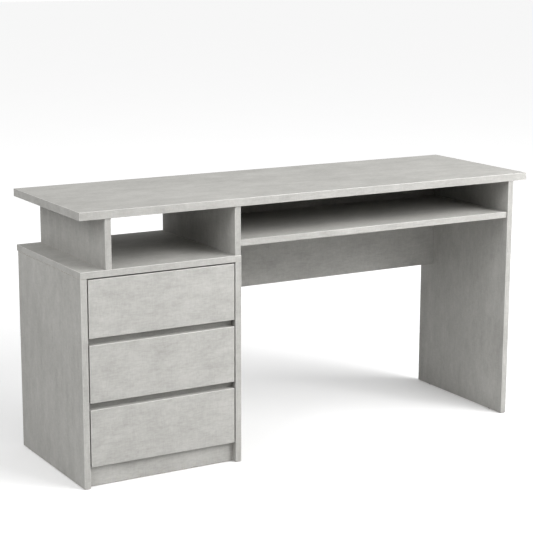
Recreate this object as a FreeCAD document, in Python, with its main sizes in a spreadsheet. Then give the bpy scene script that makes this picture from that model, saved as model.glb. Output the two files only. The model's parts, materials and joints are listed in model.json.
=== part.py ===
"""A writing desk: a three-drawer cabinet on the left, a panel leg on the right, a raised worktop
over an open pigeonhole, and a keyboard shelf in front of a modesty panel.

Desk coordinates, used by every formula below: x runs from the worktop's left end to the right,
y from the front faces of the drawers to the back, z from the floor up.  The part's own origin
is under the middle of the worktop, on the floor.
"""
import FreeCAD, Part
import os
import re
import Sketcher

from FreeCAD import Rotation, Vector

# ---------------------------------------------------------------- driving dimensions, in mm
SIZES = [
    ("worktop_length", 1465, "worktop, end to end"),
    ("worktop_depth", 460, "worktop, front edge to back edge"),
    ("worktop_thick", 22, "worktop board"),
    ("desk_height", 750, "floor to the top of the worktop"),
    ("board_thick", 18, "every other board of the desk"),
    ("worktop_nose", 2, "worktop past the drawer fronts"),
    ("worktop_tail", 20, "worktop past the back of the cabinet"),
    ("leg_overhang", 47, "worktop past the outer face of the leg panel"),
    ("glide_height", 2, "plastic glides under the standing boards"),
    ("glide_radius", 8, "plastic glides"),
    ("cabinet_width", 478, "cabinet, outer face to outer face"),
    ("cabinet_height", 592, "floor to the top of the cabinet"),
    ("top_tail", 8, "cabinet top past the back of the cabinet sides"),
    ("riser_inset", 73, "left riser in from the cabinet's left face"),
    ("riser_setback", 3, "risers back from the front"),
    ("shelf_height", 616, "floor to the underside of the keyboard shelf"),
    ("shelf_setback", 5, "keyboard shelf back from the front"),
    ("panel_bottom", 408, "floor to the lower edge of the modesty panel"),
    ("panel_inset", 66, "front of the modesty panel in from the back of the leg"),
    ("plinth_height", 56, "floor to the underside of the cabinet bottom"),
    ("plinth_setback", 17, "plinth back from the drawer fronts"),
    ("reveal", 4, "gap round the drawer fronts"),
    ("finger_gap", 19, "gap between two drawer fronts, where fingers reach in"),
    ("rail_height", 50, "rails behind the finger gaps"),
    ("rail_setback", 24, "rails back from the drawer fronts"),
    ("rail_gap", 3, "drawer boxes clear of the rails and boards above and below"),
    ("front_gap", 2, "cabinet bottom and runners behind the drawer fronts"),
    ("box_thick", 16, "boards of the drawer boxes"),
    ("box_back_gap", 7, "drawer box clear of the back sheet"),
    ("runner_space", 12.5, "room for a runner between a box and a cabinet side"),
    ("sheet_thick", 3, "hardboard back and drawer bottoms"),
    ("sheet_inset", 10, "hardboard in from the edge of the boards that hold it"),
    ("groove_depth", 8, "grooves for the hardboard"),
    ("groove_play", 0.1, "hardboard clear of each wall of its groove"),
    ("sheet_play", 0.5, "hardboard short of the bottom of its groove"),
    ("steel_thick", 1.2, "folded steel of the runners"),
    ("roller_radius", 8, "runner rollers"),
    ("roller_width", 7.5, "runner rollers"),
    ("roller_play", 0.3, "rollers clear of the flanges that they run on"),
    ("track_room", 1, "roller track higher than a roller"),
    ("front_roller_gap", 0.9, "front rollers clear of the web that holds their pins"),
    ("rear_roller_gap", 1, "rear rollers clear of the flange gap"),
    ("roller_room", 2, "stops and guards clear of the rollers"),
    ("pin_radius", 2.5, "roller pins"),
    ("pin_play", 0.05, "roller bores wider than their pins, in radius"),
    ("pin_head_radius", 4, "heads of the roller pins"),
    ("pin_head_thick", 0.8, "heads of the roller pins"),
    ("pin_inset", 14, "front roller in from the front end of its runner"),
    ("flange_gap", 0.6, "clearance between the two folded halves of a runner"),
    ("stop_length", 2, "front stop of a runner"),
    ("stop_height", 1.8, "front stop of a runner"),
    ("ledge_inset", 2, "runner's ledge in from the inner face of the box side"),
    ("travel_share", 0.75, "share of a runner's length that a drawer opens"),
    ("cam_radius", 7.5, "cam locks"),
    ("cam_floor", 1, "cam lock past its bolt"),
    ("cam_distance", 34, "centre of a cam lock to the end of its board"),
    ("slot_width", 1.6, "screwdriver slot of a cam lock"),
    ("slot_depth", 1.5, "screwdriver slot of a cam lock"),
    ("slot_inset", 2, "screwdriver slot in from the rim of its cam lock"),
    ("cap_rim", 1, "cover caps past the rim of their cam locks"),
    ("cap_thick", 0.8, "cover caps"),
    ("bolt_radius", 3.5, "cam bolts"),
    ("bolt_bite", 11, "cam bolt in the board that it is screwed into"),
    ("dowel_radius", 4, "beech dowels"),
    ("dowel_bite", 11, "dowel in the face of a board"),
    ("dowel_length", 30, "beech dowels"),
    ("end_distance", 62, "fasteners in from the end of a joint"),
    ("top_distance", 90, "fasteners under the worktop, in from the front and the back"),
    ("plinth_spread", 12, "plinth's cam locks above, and its dowels below, its middle"),
    ("rail_cam_rise", 9, "rails' cam locks above their middle"),
    ("rail_dowel_drop", 12, "rails' dowels below their middle"),
    ("panel_low_joint", 42, "modesty panel's lowest cam locks above its lower edge"),
    ("panel_high_joint", 48, "modesty panel's highest cam locks below the worktop"),
    ("foot_joint", 22, "right riser's foot, cam lock behind the modesty panel"),
    ("box_low_joint", 16, "box fasteners above the runner's flange"),
    ("box_high_joint", 18, "box fasteners below the top of the box"),
    ("nail_radius", 1.2, "nails of the glides"),
    ("nail_length", 14, "nails of the glides"),
    ("dowel_pitch", 32, "cam lock to the dowel beside it"),
    ("screw_radius", 3, "assembly screws"),
    ("screw_head_radius", 4.5, "assembly screws"),
    ("screw_head_height", 3.5, "assembly screws"),
    ("screw_length", 50, "assembly screws"),
    ("small_screw_radius", 1.6, "runner screws"),
    ("small_screw_head", 3, "runner screws, radius of the head"),
    ("small_screw_length", 13, "runner screws"),
    ("screw_row", 6.5, "runner screws above the lower edge of a drawer box"),
]

# What follows from the driving dimensions, written with their names.
DERIVED = {
    "left_end": "-worktop_length / 2",
    "front_line": "-worktop_depth / 2 + worktop_nose",
    "half_board": "board_thick / 2",
    "half_box": "box_thick / 2",
    "under_worktop": "desk_height - worktop_thick",
    "under_top": "cabinet_height - board_thick",
    "cabinet_depth": "worktop_depth - worktop_nose - worktop_tail",
    "inner_width": "cabinet_width - 2 * board_thick",
    "right_wall": "cabinet_width - board_thick",
    "riser_height": "under_worktop - cabinet_height",
    "riser_depth": "cabinet_depth + top_tail - riser_setback",
    "leg_x": "worktop_length - leg_overhang - board_thick",
    "bay_width": "leg_x - cabinet_width",
    "panel_y": "cabinet_depth - panel_inset",
    "sheet_y": "cabinet_depth - sheet_inset - sheet_thick",
    "groove_width": "sheet_thick + 2 * groove_play",
    "sheet_bite": "groove_depth - sheet_play",
    "front_bottom": "plinth_height + reveal",
    "front_width": "inner_width - 2 * reveal",
    "front_height": "(under_top - reveal - front_bottom - 2 * finger_gap) / 3",
    "front_pitch": "front_height + finger_gap",
    "rail_lap": "(rail_height - finger_gap) / 2",
    "box_lift": "max(rail_lap; board_thick - reveal) + rail_gap + steel_thick",
    "box_height": "front_height - box_lift - rail_lap - rail_gap",
    "box_x": "board_thick + runner_space",
    "box_width": "inner_width - 2 * runner_space",
    "box_inside": "box_width - 2 * box_thick",
    "box_length": "sheet_y - box_back_gap - board_thick",
    "box_end": "board_thick + box_length",
    "runner_y": "board_thick + front_gap",
    "runner_length": "box_length - front_gap",
    "travel": "travel_share * box_length",
    "rear_roller_z": "roller_radius + roller_play",
    "flange_under": "2 * roller_radius + track_room",
    "flange_top": "flange_under + steel_thick",
    "front_roller_z": "flange_under - roller_play - roller_radius",
    "channel_top": "flange_top + flange_gap",
    "channel_reach": "runner_space - steel_thick - flange_gap",
    "front_roller_y": "runner_y + pin_inset",
    "rear_roller_y": "box_end - steel_thick - roller_play - roller_radius",
    "back_fastener": "cabinet_depth - end_distance",
}

DRAWERS = 3
RUNNER_SCREWS = (0.12, 0.5, 0.84)    # places along a runner, as shares of its length
BOTTOM_SCREWS = (0.2, 0.5, 0.8)      # places along a box back, as shares of the box width
PASS = 1                             # mm by which a cutting tool passes the piece it cuts
WORDS = {name for name, value, note in SIZES}
TURNS = {"x": Rotation(Vector(0, 1, 0), 90), "y": Rotation(Vector(1, 0, 0), -90), "z": Rotation()}
LAYS = {"flat": "XY_Plane", "side": "YZ_Plane", "facing": "XZ_Plane"}

document = FreeCAD.newDocument("writing_desk")
nodes = {}
drilled = {}


# ---------------------------------------------------------------- formulas and primitives
def write_sheet():
    """Put the driving dimensions in the document's sheet, one row each."""
    sheet = document.addObject("Spreadsheet::Sheet", "sizes")
    for row, (name, value, note) in enumerate(SIZES, start=1):
        sheet.set(f"A{row}", name)
        sheet.set(f"B{row}", str(value))
        sheet.set(f"C{row}", note)
        sheet.setAlias(f"B{row}", name)
    document.recompute()
    return sheet


def formula(text):
    """Spell a formula out in the sheet's own cells."""
    def spell(match):
        word = match.group(0)
        if word in DERIVED:
            return "(" + formula(DERIVED[word]) + ")"
        return "sizes." + word if word in WORDS else word
    return re.sub(r"[a-z][a-z_]+", spell, str(text))


def value(text):
    """Work a formula out, as a plain number."""
    return float(sheet.evalExpression(formula(text)))


def place(thing, x, y, z):
    """Tie an object's place to desk coordinates."""
    thing.setExpression("Placement.Base.x", formula(f"left_end + ({x})"))
    thing.setExpression("Placement.Base.y", formula(f"front_line + ({y})"))
    thing.setExpression("Placement.Base.z", formula(z))


def block(name, corner, size):
    """A Part box from its lower corner."""
    box = document.addObject("Part::Box", name)
    for side, text in zip(("Length", "Width", "Height"), size):
        box.setExpression(side, formula(text))
    place(box, *corner)
    return box


def rod(name, point, way, radius, length, start="0"):
    """A Part cylinder that leaves point in the direction way, such as -x, after a distance."""
    cylinder = document.addObject("Part::Cylinder", name)
    cylinder.setExpression("Radius", formula(radius))
    cylinder.setExpression("Height", formula(length))
    cylinder.Placement.Rotation = TURNS[way[1]]
    shift = f"({start})" if way[0] == "+" else f"-({start}) - ({length})"
    place(cylinder, *moved(point, way[1], shift))
    return cylinder


def moved(point, axis, shift):
    """A point, moved along one axis by a formula."""
    return [f"({text}) + ({shift})" if axis == name else text for name, text in zip("xyz", point)]


def joined(name, things, kind="Part::MultiFuse"):
    """One object from several: fused, or a Part::Compound of pieces that stay apart."""
    if len(things) == 1:
        return things[0]
    union = document.addObject(kind, name)
    if kind == "Part::Compound":
        union.Links = things
    else:
        union.Shapes = things
        union.Refine = True
    return union


def without(name, base, tool):
    """One object with another cut out of it."""
    cut = document.addObject("Part::Cut", name)
    cut.Base = base
    cut.Tool = tool
    return cut


# ---------------------------------------------------------------- boards
def rectangle(body, lay, width, height):
    """A rectangle from the corner of its own plane, with its two sides bound to formulas."""
    sketch = body.newObject("Sketcher::SketchObject", body.Name + "_outline")
    plane = next(item for item in body.Origin.OriginFeatures if item.Role == LAYS[lay])
    sketch.AttachmentSupport = [(plane, "")]
    sketch.MapMode = "FlatFace"
    across, up = value(width), value(height)
    corners = [Vector(0, 0), Vector(across, 0), Vector(across, up), Vector(0, up)]
    for index in range(4):
        sketch.addGeometry(Part.LineSegment(corners[index], corners[(index + 1) % 4]))
    for index in range(4):
        sketch.addConstraint(Sketcher.Constraint("Coincident", index, 2, (index + 1) % 4, 1))
    for index, direction in enumerate(("Horizontal", "Vertical", "Horizontal", "Vertical")):
        sketch.addConstraint(Sketcher.Constraint(direction, index))
    sketch.addConstraint(Sketcher.Constraint("Coincident", 0, 1, -1, 1))
    for line, kind, text, length in ((0, "DistanceX", width, across), (1, "DistanceY", height, up)):
        number = sketch.addConstraint(Sketcher.Constraint(kind, line, 1, line, 2, length))
        sketch.setExpression(f"Constraints[{number}]", formula(text))
    return sketch


def extent(lay, size):
    """The two sides of a board's outline, and its thickness, from its size along x, y and z."""
    x, y, z = size
    return {"flat": (x, y, z), "side": (y, z, x), "facing": (x, z, y)}[lay]


def board(name, lay, corner, size):
    """A board cut from sheet stock: its outline, given its thickness."""
    body = document.addObject("PartDesign::Body", name)
    width, height, thick = extent(lay, size)
    pad = body.newObject("PartDesign::Pad", name + "_thickness")
    pad.Profile = rectangle(body, lay, width, height)
    pad.setExpression("Length", formula(thick))
    pad.Reversed = lay == "facing"
    place(body, *corner)
    nodes[name] = body
    drilled[name] = []
    return body


def groove(body, lay, corner, size):
    """A groove in a board, from its corner and size in the board's own frame."""
    width, height, depth = extent(lay, size)
    sketch = rectangle(body, lay, width, height)
    x, y, z = corner
    offset = {"flat": (x, y, z), "side": (y, z, x), "facing": (x, z, f"-({y})")}[lay]
    for axis, text in zip("xyz", offset):
        sketch.setExpression(f"AttachmentOffset.Base.{axis}", formula(text))
    document.recompute()
    before = body.Shape.Volume
    pocket = body.newObject("PartDesign::Pocket", body.Name + "_groove")
    pocket.Profile = sketch
    pocket.setExpression("Length", formula(depth))
    pocket.Reversed = lay != "facing"
    document.recompute()
    removed = before - body.Shape.Volume
    wanted = value(width) * value(height) * value(depth)
    if abs(removed - wanted) > 0.01 * wanted:
        raise RuntimeError(f"{pocket.Name} took {removed:.0f} mm3 away, not {wanted:.0f}")


# ---------------------------------------------------------------- fasteners
class Fasteners:
    """The fasteners of one rigid part of the desk, sorted by kind."""

    def __init__(self, title):
        self.title = title
        self.kinds = {"cams": [], "slots": [], "bolts": [], "dowels": [], "screws": [],
                      "runner_screws": [], "caps": []}

    def name(self, kind):
        return f"{self.title}_{kind}_{len(self.kinds[kind]) + 1}"

    def add(self, kind, thing, *boards):
        """Keep a fastener and drill it into the boards that it goes through."""
        self.kinds[kind].append(thing)
        for each in boards:
            drilled[each].append(thing)

    def cam(self, holder, mate, point, way, face, thick="board_thick"):
        """A cam lock in holder, reached from the side face, and its bolt screwed into mate."""
        centre = moved(point, way[1], f"{opposite(way)[0]} cam_distance")
        surface = moved(centre, face[1], f"{face[0]} ({thick}) / 2")
        lock = rod(self.name("cams"), surface, opposite(face), "cam_radius",
                   f"({thick}) / 2 + bolt_radius + cam_floor")
        self.add("cams", lock, holder)
        self.kinds["slots"].append(self.slot(surface, face, way))
        grip = "cam_distance - cam_radius"
        start = moved(point, way[1], f"{opposite(way)[0]} ({grip})")
        bolt = rod(self.name("bolts"), start, way, "bolt_radius", f"{grip} + bolt_bite")
        self.add("bolts", bolt, holder, mate)
        return surface

    def slot(self, surface, face, way):
        """The screwdriver slot across the face of a cam lock."""
        sides = {face[1]: "slot_depth", way[1]: "2 * (cam_radius - slot_inset)"}
        size = [sides.get(axis, "slot_width") for axis in "xyz"]
        corner = [f"({text}) - ({length}) / 2" for text, length in zip(surface, size)]
        corner = moved(corner, face[1], f"{opposite(face)[0]} slot_depth / 2")
        return block(self.name("slots"), corner, size)

    def dowel(self, holder, mate, point, way):
        """A dowel across a joint, at point, mostly in the edge of holder."""
        start = moved(point, way[1], f"{opposite(way)[0]} (dowel_length - dowel_bite)")
        pin = rod(self.name("dowels"), start, way, "dowel_radius", "dowel_length")
        self.add("dowels", pin, holder, mate)

    def screw(self, boards, point, way):
        """An assembly screw with its head flush in the first board, at point."""
        head = rod(self.name("screws") + "_head", point, way, "screw_head_radius",
                   "screw_head_height")
        shank = rod(self.name("screws") + "_shank", point, way, "screw_radius", "screw_length")
        self.add("screws", joined(self.name("screws"), [head, shank]), *boards)

    def runner_screw(self, steel, wood, point, way):
        """A small screw with its head flush in a runner's web, at point."""
        head = rod(self.name("runner_screws") + "_head", point, way, "small_screw_head",
                   "steel_thick")
        shank = rod(self.name("runner_screws") + "_shank", point, way, "small_screw_radius",
                    "small_screw_length")
        self.add("runner_screws", joined(self.name("runner_screws"), [head, shank]), steel, wood)

    def node(self, name, *kinds):
        """One node with every fastener of some kinds."""
        things = [thing for kind in kinds for thing in self.kinds[kind]]
        nodes[name] = joined(name + "_group", things, "Part::Compound")

    def cam_node(self, name):
        """One node with every cam lock, slotted."""
        locks = joined(name + "_blanks", self.kinds["cams"], "Part::Compound")
        slots = joined(name + "_slots", self.kinds["slots"], "Part::Compound")
        nodes[name] = without(name + "_group", locks, slots)


def opposite(way):
    """The direction the other way."""
    return ("-" if way[0] == "+" else "+") + way[1]


# ---------------------------------------------------------------- the desk's own boards
def make_boards():
    """Worktop, risers, leg panel, shelf, modesty panel and the cabinet's case."""
    board("worktop", "flat", ("0", "-worktop_nose", "under_worktop"),
          ("worktop_length", "worktop_depth", "worktop_thick"))
    for name, x in (("riser_left", "riser_inset"), ("riser_right", "right_wall")):
        board(name, "side", (x, "riser_setback", "cabinet_height"),
              ("board_thick", "riser_depth", "riser_height"))
    board("leg_panel", "side", ("leg_x", "0", "glide_height"),
          ("board_thick", "cabinet_depth", "under_worktop - glide_height"))
    board("keyboard_shelf", "flat", ("cabinet_width", "shelf_setback", "shelf_height"),
          ("bay_width", "panel_y - shelf_setback", "board_thick"))
    board("modesty_panel", "facing", ("cabinet_width", "panel_y", "panel_bottom"),
          ("bay_width", "board_thick", "under_worktop - panel_bottom"))
    make_case()


def make_case():
    """The drawer cabinet: sides, top, bottom, plinth, rails and the back sheet in its grooves."""
    top = board("cabinet_top", "flat", ("0", "0", "under_top"),
                ("cabinet_width", "cabinet_depth + top_tail", "board_thick"))
    groove(top, "flat", ("board_thick - groove_depth", "sheet_y - groove_play", "0"),
           ("inner_width + 2 * groove_depth", "groove_width", "groove_depth"))
    for name, x, cut in (("cabinet_side_left", "0", "board_thick - groove_depth"),
                         ("cabinet_side_right", "right_wall", "0")):
        side = board(name, "side", (x, "0", "glide_height"),
                     ("board_thick", "cabinet_depth", "under_top - glide_height"))
        groove(side, "side", (cut, "sheet_y - groove_play", "0"),
               ("groove_depth", "groove_width", "under_top - glide_height"))
    board("cabinet_bottom", "flat", ("board_thick", "runner_y", "plinth_height"),
          ("inner_width", "sheet_y - groove_play - runner_y", "board_thick"))
    board("cabinet_back", "facing", ("board_thick - sheet_bite", "sheet_y", "plinth_height"),
          ("inner_width + 2 * sheet_bite", "sheet_thick",
           "under_top + sheet_bite - plinth_height"))
    board("plinth", "facing", ("board_thick", "plinth_setback", "glide_height"),
          ("inner_width", "board_thick", "plinth_height - glide_height"))
    for name, fronts_below in (("rail_upper", 2), ("rail_lower", 1)):
        lower_edge = f"front_bottom + {fronts_below} * front_pitch - finger_gap - rail_lap"
        board(name, "facing", ("board_thick", "rail_setback", lower_edge),
              ("inner_width", "board_thick", "rail_height"))


def cam_pairs(kit, holder, mate, fixed, way, face, along, places):
    """Cam locks along one joint, each with a dowel one pitch nearer the joint's middle."""
    surfaces = []
    for text, inward in places:
        point = [text if axis == along else fixed[axis] for axis in "xyz"]
        surfaces.append(kit.cam(holder, mate, point, way, face))
        beside = moved(point, along, f"{inward} dowel_pitch")
        kit.dowel(holder, mate, beside, way)
    return surfaces


def make_joints():
    """Cam locks, dowels, screws and cover caps that hold the boards together."""
    kit = Fasteners("desk")
    ends = [("end_distance", "+"), ("back_fastener", "-")]
    bay_ends = [("top_distance", "+"), ("panel_y - end_distance", "-")]

    for name, x in (("riser_left", "riser_inset"), ("riser_right", "right_wall")):
        cam_pairs(kit, name, "worktop", {"x": f"{x} + half_board", "z": "under_worktop"}, "+z",
                  "+x", "y", [("top_distance", "+"), ("cabinet_depth - top_distance", "-")])
    fix_risers(kit, ends)
    leg_middle = "leg_x + half_board"
    leg_cams = cam_pairs(kit, "leg_panel", "worktop", {"x": leg_middle, "z": "under_worktop"},
                         "+z", "-x", "y", bay_ends)
    for number, surface in enumerate(leg_cams, start=1):
        cap = rod(f"cover_cap_{number}", surface, "-x", "cam_radius + cap_rim", "cap_thick")
        kit.kinds["caps"].append(cap)

    walls = [("cabinet_side_left", "half_board", "+x"),
             ("cabinet_side_right", "right_wall + half_board", "-x")]
    for name, x, face in walls:
        cam_pairs(kit, name, "cabinet_top", {"x": x, "z": "under_top"}, "+z", face, "y", ends)

    for name, x, way in (("cabinet_side_left", "board_thick", "-x"),
                         ("cabinet_side_right", "right_wall", "+x")):
        middle = "plinth_height + half_board"
        cam_pairs(kit, "cabinet_bottom", name, {"x": x, "z": middle}, way, "-z", "y", ends)
        y, centre = "plinth_setback + half_board", "plinth_height / 2"
        kit.cam("plinth", name, (x, y, f"{centre} + plinth_spread"), way, "+y")
        kit.dowel("plinth", name, (x, y, f"{centre} - plinth_spread"), way)
        for rail, fronts_below in (("rail_upper", 2), ("rail_lower", 1)):
            centre = f"front_bottom + {fronts_below} * front_pitch - finger_gap / 2"
            y = "rail_setback + half_board"
            kit.cam(rail, name, (x, y, f"{centre} + rail_cam_rise"), way, "+y")
            kit.dowel(rail, name, (x, y, f"{centre} - rail_dowel_drop"), way)

    panel_middle = "panel_y + half_board"
    for x, low, high, way in (("cabinet_width", "cabinet_side_right", "riser_right", "-x"),
                              ("leg_x", "leg_panel", "leg_panel", "+x")):
        shelf_middle = "shelf_height + half_board"
        cam_pairs(kit, "keyboard_shelf", high, {"x": x, "z": shelf_middle}, way, "-z", "y",
                  bay_ends)
        for mate, z, inward in ((low, "panel_bottom + panel_low_joint", "+"),
                                (high, "under_worktop - panel_high_joint", "-")):
            cam_pairs(kit, "modesty_panel", mate, {"x": x, "y": panel_middle}, way, "+y", "z",
                      [(z, inward)])
    thirds = ["cabinet_width + bay_width / 3", "cabinet_width + 2 * bay_width / 3"]
    cam_pairs(kit, "modesty_panel", "worktop", {"y": panel_middle, "z": "under_worktop"},
              "+z", "+y", "x", [(thirds[0], "+"), (thirds[1], "-")])
    for x in thirds:
        kit.screw(("modesty_panel", "keyboard_shelf"),
                  (x, "panel_y + board_thick", "shelf_height + half_board"), "-y")
    return kit


def fix_risers(kit, ends):
    """Fix the feet of the risers: the right one stands over a cabinet side, which no screw passes."""
    middle = "riser_inset + half_board"
    for y, inward in ends:
        kit.screw(("cabinet_top", "riser_left"), (middle, y, "under_top"), "+z")
        kit.dowel("riser_left", "cabinet_top",
                  (middle, f"{y} {inward} dowel_pitch", "cabinet_height"), "-z")
    middle = "right_wall + half_board"
    for y in ("2 * end_distance", "cabinet_depth / 2", "cabinet_depth - 2 * end_distance"):
        kit.dowel("riser_right", "cabinet_top", (middle, y, "cabinet_height"), "-z")
    behind_panel = "panel_y + board_thick + foot_joint"
    kit.cam("riser_right", "cabinet_top", (middle, behind_panel, "cabinet_height"), "-z", "+x")


def make_glides():
    """Nail-in plastic glides under the boards that stand on the floor."""
    glides = []
    feet = [("cabinet_side_left", "half_board"), ("cabinet_side_right", "right_wall + half_board"),
            ("leg_panel", "leg_x + half_board")]
    for name, x in feet:
        for y in ("end_distance", "back_fastener"):
            number = len(glides) + 1
            disc = rod(f"glide_disc_{number}", (x, y, "0"), "+z", "glide_radius", "glide_height")
            nail = rod(f"glide_nail_{number}", (x, y, "0"), "+z", "nail_radius",
                       "glide_height + nail_length")
            glides.append(joined(f"glide_{number}", [disc, nail]))
            drilled[name].append(glides[-1])
    nodes["glides"] = joined("glides_group", glides, "Part::Compound")


# ---------------------------------------------------------------- runners
class Side:
    """The left or the right side of the cabinet, for parts that are mirrored across it.

    A distance here runs from the cabinet side's inner face in towards the drawer box.
    """

    def __init__(self, word):
        self.word = word
        self.inward = "+x" if word == "left" else "-x"
        self.outward = opposite(self.inward)

    def x(self, distance):
        """The desk's x at a distance from the cabinet side."""
        if self.word == "left":
            return f"board_thick + ({distance})"
        return f"right_wall - ({distance})"

    def slab(self, name, near, far, y, z, length, height):
        """A box between two distances from the cabinet side."""
        low = self.x(near) if self.word == "left" else self.x(far)
        return block(name, (low, y, z), (f"({far}) - ({near})", length, height))


def roller_pin(name, side, near, far, y, z, head_at):
    """A roller's pin between two distances, with its head at the end away from its runner."""
    shank = rod(name, (side.x(near), y, z), side.inward, "pin_radius", f"({far}) - ({near})")
    head = rod(name + "_head", (side.x(head_at), y, z), side.inward, "pin_head_radius",
               "pin_head_thick")
    return [shank, head]


def cabinet_member(name, side, base):
    """The half of a runner on the cabinet: a channel with the front roller's pin."""
    reach = "channel_reach"
    low = f"{base} - steel_thick"
    pieces = [
        side.slab(name + "_web", "0", "steel_thick", "runner_y", low, "runner_length",
                  "channel_top + 2 * steel_thick"),
        side.slab(name + "_track", "0", reach, "runner_y", low, "runner_length", "steel_thick"),
        side.slab(name + "_guard", "0", reach, "front_roller_y + roller_radius + roller_room",
                  f"{base} + channel_top",
                  "runner_length - pin_inset - roller_radius - roller_room", "steel_thick"),
        side.slab(name + "_rear_stop", "0", reach, "box_end - steel_thick", low, "steel_thick",
                  "roller_radius + 2 * steel_thick"),
        side.slab(name + "_front_stop", "0", reach,
                  "rear_roller_y - travel - roller_radius - roller_room", low, "stop_length",
                  "steel_thick + stop_height"),
    ]
    pieces += roller_pin(name + "_pin", side, "0", "channel_reach", "front_roller_y",
                         f"{base} + front_roller_z", "channel_reach - pin_head_thick")
    nodes[name] = joined(name + "_steel", pieces)
    drilled[name] = []


def drawer_member(name, side, base):
    """The half of a runner on the drawer: an angle under the box, with the rear roller's pin."""
    web = "runner_space - steel_thick"
    low = f"{base} - steel_thick"
    outer = "steel_thick + flange_gap"
    pieces = [
        side.slab(name + "_web", web, "runner_space", "runner_y", low, "runner_length",
                  "flange_top + steel_thick"),
        side.slab(name + "_ledge", web, "runner_space + box_thick - ledge_inset", "runner_y",
                  low, "runner_length", "steel_thick"),
        side.slab(name + "_flange", f"{outer} + flange_gap", "runner_space", "runner_y",
                  f"{base} + flange_under", "runner_length", "steel_thick"),
    ]
    pieces += roller_pin(name + "_pin", side, outer, "runner_space", "rear_roller_y",
                         f"{base} + rear_roller_z", outer)
    nodes[name] = joined(name + "_steel", pieces)
    drilled[name] = []


def roller_pair(name, near, y, z):
    """The left and the right roller of one drawer, each with a bore for its pin."""
    pair = []
    for side in SIDES:
        centre = (side.x(near), y, z)
        tread = rod(f"{name}_{side.word}_tread", centre, side.inward, "roller_radius",
                    "roller_width")
        bore = rod(f"{name}_{side.word}_bore", moved(centre, "x", f"{side.outward[0]} {PASS}"),
                   side.inward, "pin_radius + pin_play", f"roller_width + 2 * {PASS}")
        pair.append(without(f"{name}_{side.word}", tread, bore))
    nodes[name] = joined(name + "_pair", pair, "Part::Compound")


SIDES = (Side("left"), Side("right"))


# ---------------------------------------------------------------- drawers
def make_drawer(number, desk_kit):
    """One drawer: front, box, runners and fasteners.  Drawer 1 is the top one."""
    title = f"drawer_{number}"
    front_z = f"front_bottom + {DRAWERS - number} * front_pitch"
    base = f"{front_z} + box_lift"
    kit = Fasteners(title)
    make_box(title, front_z, base)
    for side in SIDES:
        cabinet_member(f"{title}_cabinet_member_{side.word}", side, base)
        drawer_member(f"{title}_drawer_member_{side.word}", side, base)
        fasten_runners(title, side, base, kit, desk_kit)
    roller_pair(f"{title}_front_rollers", "steel_thick + front_roller_gap", "front_roller_y",
                f"{base} + front_roller_z")
    roller_pair(f"{title}_rear_rollers", "steel_thick + flange_gap + rear_roller_gap",
                "rear_roller_y", f"{base} + rear_roller_z")
    fasten_box(title, base, kit)
    kit.cam_node(f"{title}_cam_locks")
    kit.node(f"{title}_screws", "bolts", "screws", "runner_screws")


def make_box(title, front_z, base):
    """The drawer's front and the four other pieces of its box."""
    bottom_z = f"{base} + sheet_inset"
    front = board(f"{title}_front", "facing", ("board_thick + reveal", "0", front_z),
                  ("front_width", "board_thick", "front_height"))
    groove(front, "facing",
           ("runner_space - reveal + box_thick - groove_depth", "board_thick - groove_depth",
            "box_lift + sheet_inset - groove_play"),
           ("box_inside + 2 * groove_depth", "groove_depth", "groove_width"))
    for side in SIDES:
        low = "runner_space" if side.word == "left" else "runner_space + box_thick"
        wall = board(f"{title}_side_{side.word}", "side", (side.x(low), "board_thick", base),
                     ("box_thick", "box_length", "box_height"))
        cut = "box_thick - groove_depth" if side.word == "left" else "0"
        groove(wall, "side", (cut, "0", "sheet_inset - groove_play"),
               ("groove_depth", "box_length", "groove_width"))
    above_sheet = "sheet_inset + sheet_thick + groove_play"
    board(f"{title}_back", "facing",
          ("box_x + box_thick", "box_end - box_thick", f"{base} + {above_sheet}"),
          ("box_inside", "box_thick", f"box_height - ({above_sheet})"))
    board(f"{title}_bottom", "flat",
          ("box_x + box_thick - sheet_bite", "board_thick - sheet_bite", bottom_z),
          ("box_inside + 2 * sheet_bite", "box_length + sheet_bite", "sheet_thick"))


def fasten_runners(title, side, base, kit, desk_kit):
    """Three screws through each half of a runner, flush with its web."""
    height = f"{base} + screw_row"
    for share in RUNNER_SCREWS:
        y = f"runner_y + {share} * runner_length"
        desk_kit.runner_screw(f"{title}_cabinet_member_{side.word}", f"cabinet_side_{side.word}",
                              (side.x("steel_thick"), y, height), side.outward)
        kit.runner_screw(f"{title}_drawer_member_{side.word}", f"{title}_side_{side.word}",
                         (side.x("runner_space - steel_thick"), y, height), side.inward)


def fasten_box(title, base, kit):
    """Cam locks from the box sides to the front, and screws through them into the back."""
    for side in SIDES:
        wall = f"{title}_side_{side.word}"
        middle = side.x("runner_space + half_box")
        outside = side.x("runner_space")
        for z in ("flange_top + box_low_joint", "box_height - box_high_joint"):
            kit.cam(wall, f"{title}_front", (middle, "board_thick", f"{base} + {z}"), "-y",
                    side.inward, "box_thick")
            kit.screw((wall, f"{title}_back"), (outside, "box_end - half_box", f"{base} + {z}"),
                      side.inward)
    for share in BOTTOM_SCREWS:
        point = (f"box_x + {share} * box_width", "box_end - half_box", f"{base} + sheet_inset")
        kit.runner_screw(f"{title}_bottom", f"{title}_back", point, "+z")


# ---------------------------------------------------------------- finish and write
def drill_boards():
    """Cut each fastener out of what it goes through, and name every node."""
    for name, tools in drilled.items():
        if tools:
            holes = joined(name + "_holes", tools)
            nodes[name] = without(name + "_drilled", nodes[name], holes)
    for name, thing in nodes.items():
        if thing.Label != name:
            for other in document.getObjectsByLabel(name):
                other.Label = name + "_blank"
            thing.Label = name


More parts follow.
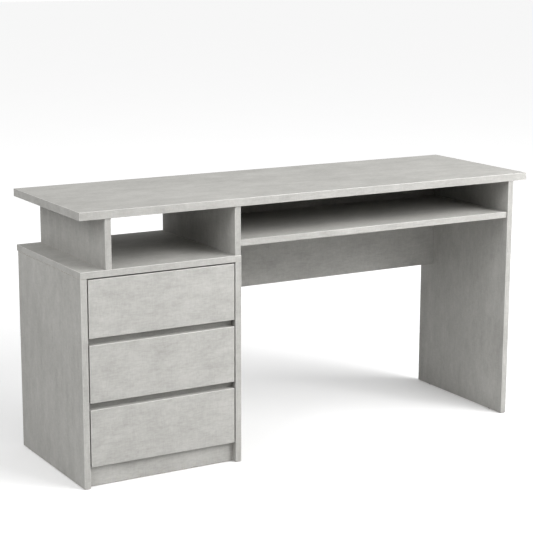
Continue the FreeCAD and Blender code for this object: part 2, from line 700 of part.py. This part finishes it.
def check_document():
    """Stop at any object that failed and any node without a sound solid."""
    failed = [thing.Name for thing in document.Objects
              if "Invalid" in thing.State or "Error" in thing.State]
    if failed:
        raise RuntimeError("failed to build: " + ", ".join(failed))
    for name, thing in nodes.items():
        if thing.Shape.isNull() or not thing.Shape.isValid() or not thing.Shape.Solids:
            raise RuntimeError(name + " has no valid shape")
        if thing.Label != name:
            raise RuntimeError(name + " is labelled " + thing.Label)


def write_parts():
    """One STEP file for each node."""
    os.makedirs("parts", exist_ok=True)
    for name, thing in nodes.items():
        thing.Shape.exportStep(f"parts/{name}.step")


sheet = write_sheet()
make_boards()
desk_joints = make_joints()
make_glides()
for drawer in range(1, DRAWERS + 1):
    make_drawer(drawer, desk_joints)
desk_joints.cam_node("cam_locks")
desk_joints.node("cam_bolts", "bolts")
desk_joints.node("dowels", "dowels")
desk_joints.node("assembly_screws", "screws")
desk_joints.node("runner_screws", "runner_screws")
desk_joints.node("cover_caps", "caps")
drill_boards()
document.recompute()
check_document()
write_parts()
print(len(nodes), "nodes, travel", round(value("travel"), 1), "mm")
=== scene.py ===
# %% [markdown]
# # A writing desk in concrete-effect melamine
#
# The real desk is flat-pack furniture: particle board in a light grey decor paper, edge bands,
# zinc cam locks, and pale steel runners under three drawers.  The CAD frame already holds each
# board at its true size, so these cells round the edges, give each part its finish, and light
# the desk as a furniture catalogue would.

import json
import math

import bmesh
import bpy
from mathutils import Matrix, Vector


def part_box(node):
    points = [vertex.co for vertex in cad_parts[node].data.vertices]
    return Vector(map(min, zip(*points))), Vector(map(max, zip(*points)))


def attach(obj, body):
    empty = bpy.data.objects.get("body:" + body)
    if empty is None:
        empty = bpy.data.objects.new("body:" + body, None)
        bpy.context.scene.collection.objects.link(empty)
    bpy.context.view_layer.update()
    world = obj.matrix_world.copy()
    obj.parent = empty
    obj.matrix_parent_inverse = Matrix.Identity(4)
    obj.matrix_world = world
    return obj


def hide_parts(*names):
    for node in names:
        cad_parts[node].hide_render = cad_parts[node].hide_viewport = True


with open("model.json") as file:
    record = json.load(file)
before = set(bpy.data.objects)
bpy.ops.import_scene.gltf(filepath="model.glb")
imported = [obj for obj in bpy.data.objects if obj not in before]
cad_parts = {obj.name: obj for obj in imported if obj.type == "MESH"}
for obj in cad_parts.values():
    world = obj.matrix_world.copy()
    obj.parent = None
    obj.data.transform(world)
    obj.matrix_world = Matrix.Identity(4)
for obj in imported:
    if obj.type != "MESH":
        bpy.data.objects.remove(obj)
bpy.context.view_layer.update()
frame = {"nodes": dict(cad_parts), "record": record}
nodes = frame["nodes"]
slot_of = {part["node"]: part["material_slot"] for part in frame["record"]["subparts"]}
body_of = {node: body for body, names in frame["record"]["behaviour"]["bodies"].items()
           for node in names}

# %% [markdown]
# ## Shader maths as plain expressions
#
# A finish is a small sum: clouds plus streaks plus specks.  Wiring that by hand takes dozens of
# Math nodes, so one class wraps a socket and turns `+`, `-` and `*` into those nodes.  A second
# class has the one method that makes every other node, and a third is a whole material.

# %% A socket that can be added and multiplied
class Signal:
    """An output of a shader node; arithmetic on it adds Math nodes."""

    def __init__(self, wiring, socket):
        self.wiring = wiring
        self.socket = socket

    def combine(self, operation, first, second):
        return self.wiring.node("Math", {"operation": operation}, {0: first, 1: second})

    def __add__(self, other):
        return self.combine("ADD", self, other)

    def __radd__(self, other):
        return self.combine("ADD", other, self)

    def __sub__(self, other):
        return self.combine("SUBTRACT", self, other)

    def __rsub__(self, other):
        return self.combine("SUBTRACT", other, self)

    def __mul__(self, other):
        return self.combine("MULTIPLY", self, other)

    def __rmul__(self, other):
        return self.combine("MULTIPLY", other, self)


# %% A node tree and its one way of making nodes
class Wiring:
    """The nodes of a material or of the surround."""

    def __init__(self, tree):
        self.tree = tree

    def node(self, kind, settings=None, sockets=None, output=0):
        """Any node: its type, its settings, then the values or links of its sockets."""
        made = self.tree.nodes.new("ShaderNode" + kind)
        for setting, choice in (settings or {}).items():
            setattr(made, setting, choice)
        for key, given in (sockets or {}).items():
            if isinstance(given, Signal):
                self.tree.links.new(given.socket, made.inputs[key])
            else:
                made.inputs[key].default_value = given
        return Signal(self, made.outputs[output])

    def join(self, signal, socket):
        """Link a signal to a socket that already exists."""
        self.tree.links.new(signal.socket, socket)


# %% A material
class Finish(Wiring):
    """A material with a Principled shader, and the patterns that feed it."""

    def __init__(self, name, **constants):
        self.material = bpy.data.materials.new(name)
        self.material.use_nodes = True
        super().__init__(self.material.node_tree)
        self.shader = self.tree.nodes["Principled BSDF"]
        for socket, number in constants.items():
            self.shader.inputs[socket.replace("_", " ")].default_value = number
        self.place = self.node("TexCoord", output="Object")

    def noise(self, scale, stretch=(1, 1, 1), detail=2.0, roughness=0.5):
        """Noise from 0 to 1, its scale in features per metre, stretched along an axis."""
        stretched = self.node("VectorMath", {"operation": "MULTIPLY"},
                              {0: self.place, 1: stretch})
        return self.node("TexNoise", {"noise_dimensions": "3D"},
                         {"Vector": stretched, "Scale": scale, "Detail": detail,
                          "Roughness": roughness})

    def mix(self, factor, dark, light):
        """One colour to another, as factor goes from 0 to 1."""
        ends = {"Factor": factor}
        settings = {"data_type": "RGBA", "clamp_factor": True}
        for key, colour in ((6, dark), (7, light)):
            ends[key] = colour if isinstance(colour, Signal) else (*colour, 1)
        return self.node("Mix", settings, ends, output=2)

    def feed(self, **signals):
        """Link signals to the shader's own sockets."""
        for socket, signal in signals.items():
            self.join(signal, self.shader.inputs[socket.replace("_", " ")])
        return self

    def bump(self, height, distance):
        """Tilt the surface by a height map, in metres."""
        normal = self.node("Bump", {}, {"Height": height, "Distance": distance, "Strength": 1.0})
        return self.feed(Normal=normal)


# %% [markdown]
# ## The concrete-effect melamine
#
# The decor paper is a print of linen-textured concrete: wide pale clouds, small trowel patches,
# and a hatch of short fine streaks that run mostly along the board and partly across it.  A
# scan would fix one board's print for all of them, so the print is built from noise that is
# stretched along the board.

# %% Melamine decor
CLOUDS, PATCHES, SPECKS = 5, 26, 420    # features per metre
WEAVE = 240        # streaks per metre, across the streak
STREAK = 60        # streaks per metre, along the streak
TROWEL = 80        # trowel marks per metre, across the mark
TROWEL_SHARE = 0.12    # trowel marks per metre along the mark, as a share of those across it
CLOUD_TONE, PATCH_TONE, TROWEL_TONE, HATCH_TONE, SPECK_TONE = 0.7, 1.1, 0.45, 1.45, 0.3
GREY = 0.5         # middle of every noise

def melamine(name, along, pale, dark, bump_height=0.0001, gloss=0.56):
    """Linen concrete decor on boards whose length runs along axis number `along`."""
    finish = Finish(name, Specular_IOR_Level=0.28)

    def drawn_out(share):
        """A stretch that makes a feature longer along the board."""
        return tuple(share if axis == along else 1 for axis in range(3))

    crosswise = tuple(1 if axis == along else STREAK / WEAVE for axis in range(3))
    clouds = finish.noise(CLOUDS, detail=3, roughness=0.55)
    patches = finish.noise(PATCHES, drawn_out(0.5), 4, 0.6)
    trowelled = finish.noise(TROWEL, drawn_out(TROWEL_SHARE), 2, 0.55)
    threads = finish.noise(WEAVE, drawn_out(STREAK / WEAVE), 2, 0.6)
    cross_threads = finish.noise(WEAVE, crosswise, 2, 0.6)
    specks = finish.noise(SPECKS, detail=1)
    hatch = threads * 0.6 + cross_threads * 0.4
    tone = (clouds - GREY) * CLOUD_TONE + (patches - GREY) * PATCH_TONE
    tone = tone + (trowelled - GREY) * TROWEL_TONE + (hatch - GREY) * HATCH_TONE
    tone = tone + (specks - GREY) * SPECK_TONE + GREY
    finish.feed(Base_Color=finish.mix(tone, dark, pale))
    finish.feed(Roughness=gloss + 0.10 * hatch + 0.05 * patches)
    finish.bump(hatch + specks * 0.3, bump_height)
    return finish.material


PALE = (0.455, 0.449, 0.428)
DARK = (0.312, 0.307, 0.290)
X, Y, Z = 0, 1, 2
melamine_level = melamine("melamine_level", X, PALE, DARK)
melamine_upright = melamine("melamine_upright", Z, PALE, DARK)
print("melamine with the weave along X and along Z")

# %% [markdown]
# ## Edge bands and raw edges
#
# Each edge that shows is covered by a glued strip in the same decor, milled to a small radius
# along both sides.  The milled corners are paler than the paper: partly the strip's own plastic
# showing there, partly a painted highlight along each rounded edge.  Edges that stand on the
# floor or meet another board stay raw particle board: pressed chips, coarse and dark between.
# So a board has four finishes, and its mesh says which face has which.

# %% Edge band and raw edge finishes
band_level = melamine("edge_band_level", X, PALE, DARK, 0.00005, 0.48)
band_upright = melamine("edge_band_upright", Z, PALE, DARK, 0.00005, 0.48)

# The paler corner tone is partly the band's own plastic and partly a painted highlight along the
# milled edge.
def corner_plastic_and_highlight():
    finish = Finish("edge_band_corner", Specular_IOR_Level=0.45)
    wear = finish.noise(60, detail=3)
    finish.feed(Base_Color=finish.mix(wear, (0.49, 0.485, 0.465), (0.58, 0.575, 0.555)))
    return finish.feed(Roughness=0.34 + 0.12 * wear).material


def particle_board():
    finish = Finish("particle_board", Specular_IOR_Level=0.2)
    chips = finish.node("TexVoronoi", {}, {"Vector": finish.place, "Scale": 700.0,
                                           "Randomness": 1.0}, output=1)
    chip_tone = finish.node("RGBToBW", {}, {0: chips})
    dust = finish.noise(1500, detail=3)
    tone = chip_tone * 0.65 + dust * 0.35
    finish.feed(Base_Color=finish.mix(tone, (0.17, 0.115, 0.065), (0.45, 0.345, 0.225)))
    finish.feed(Roughness=0.85 + 0.1 * dust)
    return finish.bump(tone, 0.0004).material


band_corner_and_highlight = corner_plastic_and_highlight()
raw_edge = particle_board()

# %% Helpers for the pieces' meshes
BAND_RADIUS, BAND_STEPS = 0.001, 3
WELD = 1e-6                        # points this near are one point
FLAT = math.radians(0.5)           # faces that meet at less are one face
ON_SIDE = 1e-5                     # a point this near to a side lies on it
SQUARE_ON = 0.9                    # a face's normal along an axis, at least, to face it
ROUND = 0.5                        # a bevel's profile for a round edge
SIDES = {"-x": (X, 0), "+x": (X, 1), "-y": (Y, 0), "+y": (Y, 1), "-z": (Z, 0), "+z": (Z, 1)}

def mesh_of(node):
    """A clean copy of a CAD node's mesh: welded, flat shaded, its flat faces whole again."""
    mesh = bmesh.new()
    mesh.from_mesh(nodes[node].data)
    bmesh.ops.remove_doubles(mesh, verts=mesh.verts, dist=WELD)
    bmesh.ops.dissolve_limit(mesh, angle_limit=FLAT, verts=mesh.verts,
                             edges=mesh.edges)
    for face in mesh.faces:
        face.smooth = False
    return mesh


def piece(name, mesh, materials, like):
    """A Blender object from a mesh, which stands for a CAD node and rides with its body."""
    data = bpy.data.meshes.new(name)
    mesh.to_mesh(data)
    mesh.free()
    thing = bpy.data.objects.new(name, data)
    bpy.context.scene.collection.objects.link(thing)
    for material in materials:
        data.materials.append(material)
    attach(thing, body_of[like])
    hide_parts(like)
    return thing


# %% [markdown]
# ## One board
#
# A board is the CAD solid, with its holes and grooves, so only its edges change.  A bevel on
# every edge would also round the holes and open a gap where two boards meet, so only the edges
# along a banded side are milled.

# %% A board with milled bands
def board(node, faces, bands, banded):
    """A CAD board: decor on its broad faces, bands on its banded sides, the rest raw."""
    low, high = (Vector(corner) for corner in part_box(node))
    size = high - low
    thin = min(range(3), key=lambda axis: size[axis])
    banded_sides = {SIDES[word] for word in banded.split()}
    soft_sides = banded_sides | {(thin, 0), (thin, 1)}
    mesh = mesh_of(node)

    def sides_at(point):
        """The outer sides of the board that a point lies on."""
        return {(axis, end) for axis in range(3) for end, corner in enumerate((low, high))
                if abs(point[axis] - corner[axis]) < ON_SIDE}

    milled = []
    for edge in mesh.edges:
        on = sides_at(edge.verts[0].co) & sides_at(edge.verts[1].co)
        if len(on) == 2 and on <= soft_sides and on & banded_sides:
            milled.append(edge)
    for face in mesh.faces:
        on = sides_at(face.calc_center_median())
        broad = abs(face.normal[thin]) > SQUARE_ON and on
        face.material_index = 0 if broad else 1 if on & banded_sides else 3
    rounded = bmesh.ops.bevel(mesh, geom=milled, offset=BAND_RADIUS, segments=BAND_STEPS,
                              profile=ROUND, affect="EDGES", clamp_overlap=True)
    # The rounded faces take the pale corner finish: partly the band's plastic, partly a painted
    # highlight.
    for face in rounded["faces"]:
        face.material_index = 2
        face.smooth = True
    return piece(node + "_board", mesh, [faces, bands, band_corner_and_highlight, raw_edge], node)


# %% [markdown]
# ## The desk's boards
#
# The weave of the decor runs along the length of each board: level on the worktop, shelf,
# fronts and rails, and upright on everything that stands.

# %% Boards of the desk
ALL_ROUND = "-x +x -y +y"
LEVEL = {"worktop": ALL_ROUND, "cabinet_top": ALL_ROUND, "keyboard_shelf": "-y",
         "modesty_panel": "-z", "cabinet_bottom": "-y", "plinth": "", "rail_upper": "-z +z",
         "rail_lower": "-z +z"}
LEVEL.update({f"drawer_{number}_front": "-x +x -z +z" for number in (1, 2, 3)})
UPRIGHT = {name: "-y +y" for name in ("riser_left", "riser_right", "leg_panel",
                                      "cabinet_side_left", "cabinet_side_right")}
for name, banded in LEVEL.items():
    board(name, melamine_level, band_level, banded)
for name, banded in UPRIGHT.items():
    board(name, melamine_upright, band_upright, banded)
print(len(LEVEL) + len(UPRIGHT), "boards in grey melamine")

# %% [markdown]
# ## The drawer boxes
#
# Box boards carry a plainer, paler paper with a faint linen print, and only their top edge is
# banded.  The bottoms and the cabinet's back are thin hardboard, painted on the side that shows.

# %% Box boards and hardboard
def box_paper():
    finish = Finish("box_paper", Specular_IOR_Level=0.35)
    clouds = finish.noise(9, detail=3)
    weave = finish.noise(260, (0.06, 1, 1), 2) * 0.5 + finish.noise(260, (1, 1, 0.06), 2) * 0.5
    tone = GREY + (clouds - GREY) * 0.5 + (weave - GREY) * 0.8
    finish.feed(Base_Color=finish.mix(tone, (0.50, 0.495, 0.475), (0.62, 0.615, 0.595)))
    finish.feed(Roughness=0.48 + 0.1 * weave)
    return finish.bump(weave, 0.00008).material


def hardboard_paint():
    finish = Finish("hardboard_paint", Specular_IOR_Level=0.3)
    fibres = finish.noise(900, (0.25, 1, 0.4), 3, 0.65)
    clouds = finish.noise(7, detail=2)
    tone = GREY + (fibres - GREY) * 0.7 + (clouds - GREY) * 0.4
    finish.feed(Base_Color=finish.mix(tone, (0.40, 0.39, 0.37), (0.50, 0.49, 0.465)))
    finish.feed(Roughness=0.6 + 0.15 * fibres)
    return finish.bump(fibres, 0.0001).material


box_board = box_paper()
for number in (1, 2, 3):
    for part in ("side_left", "side_right", "back"):
        board(f"drawer_{number}_{part}", box_board, box_board, "+z")
print("nine box boards")

# %% [markdown]
# ## Metal, plastic and beech
#
# The hardware is small, but each kind has its own look: die-cast zinc is grey and grainy,
# plated steel is brighter, the runners are sprayed with pale epoxy, and the rollers are
# moulded nylon.

# %% Hardware finishes
def metal(name, dark, pale, roughness, scratches=0.08):
    finish = Finish(name, Metallic=1.0)
    grain = finish.noise(700, (0.08, 1, 1), 3, 0.6)
    tarnish = finish.noise(45, detail=3)
    finish.feed(Base_Color=finish.mix(tarnish * 0.7 + grain * 0.3, dark, pale))
    finish.feed(Roughness=roughness + scratches * grain + 0.08 * tarnish)
    return finish.bump(grain, 0.00002).material


def epoxy_paint():
    finish = Finish("epoxy_paint", Coat_Roughness=0.25)
    orange_peel = finish.noise(900, detail=2)
    rubbed = finish.noise(35, (0.6, 0.2, 1), 3)
    finish.feed(Base_Color=finish.mix(rubbed, (0.60, 0.60, 0.585), (0.71, 0.71, 0.695)))
    finish.feed(Roughness=0.32 + 0.12 * rubbed, Coat_Weight=0.15 + 0.1 * rubbed)
    return finish.bump(orange_peel, 0.00003).material


def plastic(name, dark, pale, roughness):
    finish = Finish(name, Specular_IOR_Level=0.4)
    mould = finish.noise(1200, detail=2)
    cast = finish.noise(80, detail=2)
    finish.feed(Base_Color=finish.mix(cast, dark, pale))
    finish.feed(Roughness=roughness + 0.1 * mould)
    return finish.bump(mould, 0.00002).material


def beech():
    finish = Finish("beech", Specular_IOR_Level=0.3)
    rings = finish.noise(260, (1, 1, 0.2), 4, 0.6)
    flecks = finish.noise(1400, (0.2, 1, 1), 1)
    finish.feed(Base_Color=finish.mix(rings * 0.8 + flecks * 0.2, (0.42, 0.26, 0.14),
                                      (0.66, 0.47, 0.29)))
    finish.feed(Roughness=0.55 + 0.15 * flecks)
    return finish.bump(flecks, 0.00005).material


finishes = {
    "hardboard": hardboard_paint(),
    "runner_steel": epoxy_paint(),
    "roller_nylon": plastic("roller_nylon", (0.70, 0.70, 0.67), (0.80, 0.80, 0.77), 0.38),
    "cam_zinc": metal("cam_zinc", (0.40, 0.40, 0.39), (0.62, 0.62, 0.61), 0.36),
    "fastener_steel": metal("fastener_steel", (0.45, 0.44, 0.42), (0.66, 0.65, 0.62), 0.26),
    "beech": beech(),
    "cap_plastic": plastic("cap_plastic", (0.36, 0.355, 0.335), (0.40, 0.395, 0.375), 0.42),
    "glide_plastic": plastic("glide_plastic", (0.055, 0.055, 0.053), (0.08, 0.08, 0.078), 0.45),
}
for node, thing in nodes.items():
    if slot_of[node] in finishes:
        thing.data.materials.clear()
        thing.data.materials.append(finishes[slot_of[node]])
print("finishes on", sum(slot_of[node] in finishes for node in nodes), "CAD nodes")

# %% [markdown]
# ## Runners, caps and glides with softened edges
#
# Folded steel and moulded plastic have no razor edges.  The CAD solids are right in every
# other way, so each is copied and its sharp edges get a bevel much thinner than the part.

# %% Softened copies
SHARP = math.radians(50)

def softened(node, radius, segments=2):
    """A CAD node's own shape with every sharp edge rounded."""
    mesh = mesh_of(node)
    sharp = [edge for edge in mesh.edges if len(edge.link_faces) == 2
             and edge.calc_face_angle() > SHARP and edge.calc_length() > radius]
    rounded = bmesh.ops.bevel(mesh, geom=sharp, offset=radius, segments=segments,
                              profile=ROUND, affect="EDGES", clamp_overlap=True)
    for face in rounded["faces"]:
        face.smooth = True
    return piece(node + "_soft", mesh, [finishes[slot_of[node]]], node)


STEEL_EDGE = 0.00025
for number in (1, 2, 3):
    for half in ("cabinet_member", "drawer_member"):
        for side in ("left", "right"):
            softened(f"drawer_{number}_{half}_{side}", STEEL_EDGE)
softened("cover_caps", STEEL_EDGE)
softened("glides", STEEL_EDGE)
print("runners, caps and glides softened")

# %% [markdown]
# ## Turned parts
#
# A roller is turned: one profile swept round its axle.  So is the drum of a cam lock.  The
# sweep is a loop that places a ring of points for each point of the profile and joins each
# ring to the next.

# %% A swept profile
STEPS = 32

def turned(mesh, profile, centre, axis, closed=False):
    """Sweep (radius, distance along the axis) points round an axis through centre."""
    first, second = ((axis + 1) % 3, (axis + 2) % 3)
    rings = []
    for radius, along in profile:
        ring = []
        for step in range(STEPS):
            turn = 2 * math.pi * step / STEPS
            point = Vector(centre)
            point[axis] += along
            point[first] += radius * math.cos(turn)
            point[second] += radius * math.sin(turn)
            ring.append(mesh.verts.new(point))
        rings.append(ring)
    pairs = list(zip(rings, rings[1:])) + ([(rings[-1], rings[0])] if closed else [])
    for ring, following in pairs:
        for step in range(STEPS):
            after = (step + 1) % STEPS
            face = mesh.faces.new((ring[step], ring[after], following[after], following[step]))
            face.smooth = True
    return rings


# %% [markdown]
# ## Rollers
#
# Each nylon roller has a hub round its pin, a thin web, and a tread with rounded shoulders.
# The recess between hub and tread is what makes it read as a moulded wheel.

# %% Rollers
BORE, HUB, WEB_RADIUS = 0.00255, 0.0042, 0.0062    # radii
RECESS, SHOULDER = 0.0015, 0.0008
DRAFT = 0.0003                     # slope of the recess walls
CORNER = 0.3                       # where a shoulder's middle point lies, as a share

def roller_profile(radius, width):
    """Half of the section, then its mirror image: out along one face and back on the other."""
    half = width / 2
    face = [(BORE, half), (HUB, half), (HUB + DRAFT, half - RECESS),
            (WEB_RADIUS - DRAFT, half - RECESS), (WEB_RADIUS, half), (radius - SHOULDER, half),
            (radius - SHOULDER * CORNER, half - SHOULDER * CORNER), (radius, half - SHOULDER)]
    return face + [(distance, -along) for distance, along in reversed(face)]


def rollers(node, width):
    """The left and the right roller of a node."""
    low, high = (Vector(corner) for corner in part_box(node))
    middle = (low + high) / 2
    radius = (high.z - low.z) / 2
    mesh = bmesh.new()
    for x in (low.x + width / 2, high.x - width / 2):
        turned(mesh, roller_profile(radius, width), (x, middle.y, middle.z), X, closed=True)
    bmesh.ops.recalc_face_normals(mesh, faces=mesh.faces)
    return piece(node + "_turned", mesh, [finishes["roller_nylon"]], node)


ROLLER_WIDTH = 0.0075
for number in (1, 2, 3):
    for end in ("front", "rear"):
        rollers(f"drawer_{number}_{end}_rollers", ROLLER_WIDTH)
print("twelve rollers")

# %% [markdown]
# ## Cam locks
#
# The face of a cam lock shows a cross recess inside a chamfered rim.  The CAD node holds all
# the locks of a body as separate solids, so each solid's own box gives its place, its axis and
# which way it faces: the face is the end that lies on a board's surface, where the recess is.

# %% Separate solids of a node
def islands(node):
    """Each separate solid of a node, as its list of vertices."""
    mesh = mesh_of(node)
    left, found = set(mesh.verts), []
    while left:
        queue, group = [left.pop()], []
        while queue:
            vertex = queue.pop()
            group.append(vertex.co.copy())
            for edge in vertex.link_edges:
                other = edge.other_vert(vertex)
                if other in left:
                    left.remove(other)
                    queue.append(other)
        found.append(group)
    mesh.free()
    return found


# %% Cross recess
TAPER = 0.8        # size of a recess's bed against its rim

def cross_outline(centre, axis, reach, half_width):
    """The twelve corners of a cross in the plane across an axis."""
    first, second = ((axis + 1) % 3, (axis + 2) % 3)
    quarter = [(reach, half_width), (half_width, half_width), (half_width, reach)]
    corners = []
    for turn in range(4):
        for across, up in quarter:
            for _ in range(turn):
                across, up = -up, across
            point = Vector(centre)
            point[first] += across
            point[second] += up
            corners.append(point)
    return corners


def recessed_face(mesh, ring, centre, axis, outward, reach, half_width, depth):
    """Close a ring with a flat face that has a cross sunk into it."""
    rim = [mesh.verts.new(point) for point in cross_outline(centre, axis, reach, half_width)]
    floor_centre = Vector(centre)
    floor_centre[axis] -= outward * depth
    bed = [mesh.verts.new(point)
           for point in cross_outline(floor_centre, axis, reach * TAPER, half_width * TAPER)]
    count = len(rim)
    edges = [mesh.edges.new((rim[index], rim[(index + 1) % count])) for index in range(count)]
    edges += [mesh.edges.get((ring[index], ring[(index + 1) % STEPS])) for index in range(STEPS)]
    bmesh.ops.triangle_fill(mesh, use_beauty=True, edges=edges)
    for index in range(count):
        after = (index + 1) % count
        mesh.faces.new((rim[index], rim[after], bed[after], bed[index]))
    mesh.faces.new(bed)


# %% Cam locks
CHAMFER = 0.0005
CENTRE_HOLE = 0.0005               # radius where the sweep of the back face stops
CROSS_REACH = 0.6                  # arm of the cross, as a share of the cam's radius
CROSS_HALF_WIDTH, CROSS_DEPTH = 0.0009, 0.0014

def cam_locks(node):
    """Every cam lock of a body: a chamfered drum with a cross recess in its face."""
    mesh = bmesh.new()
    for group in islands(node):
        low = Vector(min(point[axis] for point in group) for axis in range(3))
        high = Vector(max(point[axis] for point in group) for axis in range(3))
        size, middle = high - low, (low + high) / 2
        axis = min(range(3), key=lambda number: size[number])
        radius, depth = max(size) / 2, size[axis]
        near_top = sum(point[axis] > middle[axis] for point in group)
        outward = 1 if near_top > len(group) / 2 else -1
        profile = [(CENTRE_HOLE, -outward * depth / 2), (radius, -outward * depth / 2),
                   (radius, outward * (depth / 2 - CHAMFER)),
                   (radius - CHAMFER, outward * depth / 2)]
        rings = turned(mesh, profile, middle, axis)
        mesh.faces.new(rings[0])
        face_centre = middle.copy()
        face_centre[axis] += outward * depth / 2
        recessed_face(mesh, rings[-1], face_centre, axis, outward, radius * CROSS_REACH,
                      CROSS_HALF_WIDTH, CROSS_DEPTH)
    bmesh.ops.recalc_face_normals(mesh, faces=mesh.faces)
    for face in mesh.faces:
        face.smooth = False
    return piece(node + "_cast", mesh, [finishes["cam_zinc"]], node)


for node in ["cam_locks"] + [f"drawer_{number}_cam_locks" for number in (1, 2, 3)]:
    cam_locks(node)
print("cam locks of four bodies")

# %% [markdown]
# ## Floor, light and camera
#
# A catalogue shot: a white sweep with soft shadows, a surround that is stronger from above, two
# large soft lights at the front right, and a weaker one at the left.  So the fronts and the
# worktop are bright, the left faces are mid grey and the space under the worktop goes dark.
# The sweep glows more with distance, which hides the line where a real sweep curves up behind
# the product.  It also throws less light back than it shows, so that the undersides of the
# boards keep their shade.

# %% Floor
FLOOR_SIZE = 60
SWEEP_START, SWEEP_END = 1.1, 3.2  # metres from the desk where the glow starts and levels off
FLOOR_GLOW_NEAR, FLOOR_GLOW_FAR = 0.11, 0.40
FLOOR_BOUNCE = (0.6, 0.6, 0.6)

def studio_floor():
    finish = Finish("studio_floor", Specular_IOR_Level=0.0, Emission_Strength=1.0)
    grain = finish.noise(3, detail=2)
    distance = finish.node("VectorMath", {"operation": "LENGTH"}, {0: finish.place}, output=1)
    sweep = finish.node("MapRange", {"interpolation_type": "SMOOTHSTEP"},
                        {"Value": distance, "From Min": SWEEP_START, "From Max": SWEEP_END,
                         "To Min": FLOOR_GLOW_NEAR, "To Max": FLOOR_GLOW_FAR})
    finish.feed(Base_Color=finish.mix(grain, (0.84, 0.84, 0.84), (0.86, 0.86, 0.86)),
                Emission_Color=finish.mix(sweep, (0, 0, 0), (1, 1, 1)))
    finish.feed(Roughness=0.9 + 0.05 * grain)
    dim = finish.node("BsdfDiffuse", {}, {"Color": (*FLOOR_BOUNCE, 1)})
    seen = finish.node("LightPath")
    white = Signal(finish, finish.shader.outputs[0])
    shown = finish.node("MixShader", {}, {0: seen, 1: dim, 2: white})
    finish.join(shown, finish.tree.nodes["Material Output"].inputs["Surface"])
    return finish.material


bpy.ops.mesh.primitive_plane_add(size=FLOOR_SIZE)
floor = bpy.context.object
floor.name = "floor"
floor.data.materials.append(studio_floor())

# %% Surround
OVERHEAD = 0.93

world = bpy.data.worlds.new("surround")
world.use_nodes = True
bpy.context.scene.world = world
surround = Wiring(world.node_tree)
soft_sky = world.node_tree.nodes["Background"]
soft_sky.inputs["Color"].default_value = (1, 1, 1, 1)
direction = surround.node("NewGeometry", output=1)
height = surround.node("SeparateXYZ", {}, {0: direction}, output=2)
surround.join(surround.node("Math", {"operation": "ABSOLUTE"}, {0: height}) * OVERHEAD,
              soft_sky.inputs["Strength"])
white = surround.node("Background", {}, {"Color": (1, 1, 1, 1), "Strength": 1.0})
seen = surround.node("LightPath")
mixed = surround.node("MixShader", {}, {0: seen, 1: Signal(surround, soft_sky.outputs[0]),
                                        2: white})
surround.join(mixed, world.node_tree.nodes["World Output"].inputs["Surface"])

# %% Lights
def soft_light(name, place, aim, size, power):
    """A large square area light that points from place to aim."""
    data = bpy.data.lights.new(name, "AREA")
    data.shape = "SQUARE"
    data.size = size
    data.energy = power
    light = bpy.data.objects.new(name, data)
    light.location = place
    light.rotation_euler = (Vector(aim) - Vector(place)).to_track_quat("-Z", "Y").to_euler()
    bpy.context.scene.collection.objects.link(light)


DESK_MIDDLE = (0, 0, 0.4)
soft_light("key_right", (2.7, -2.2, 2.6), DESK_MIDDLE, 2.2, 118)
soft_light("key_front", (2.0, -4.0, 3.0), DESK_MIDDLE, 2.4, 146)
soft_light("fill_left", (-3.9, -1.7, 3.0), DESK_MIDDLE, 2.6, 103)

# %% Camera
LENS, SENSOR = 106.25, 36          # millimetres
CAMERA_PLACE = (-2.3187, -3.9079, 1.4429)
AZIMUTH, ELEVATION, ROLL = (math.radians(angle) for angle in (30.223, 11.814, 0.189))
camera = bpy.data.objects.new("camera", bpy.data.cameras.new("camera"))
camera.data.lens = LENS
camera.data.sensor_width = SENSOR
camera.location = CAMERA_PLACE
turn = Matrix.Rotation(-AZIMUTH, 4, "Z") @ Matrix.Rotation(math.pi / 2 - ELEVATION, 4, "X")
camera.rotation_euler = (turn @ Matrix.Rotation(ROLL, 4, "Z")).to_euler()
bpy.context.scene.collection.objects.link(camera)
bpy.context.scene.camera = camera
bpy.context.scene.view_settings.view_transform = "Standard"
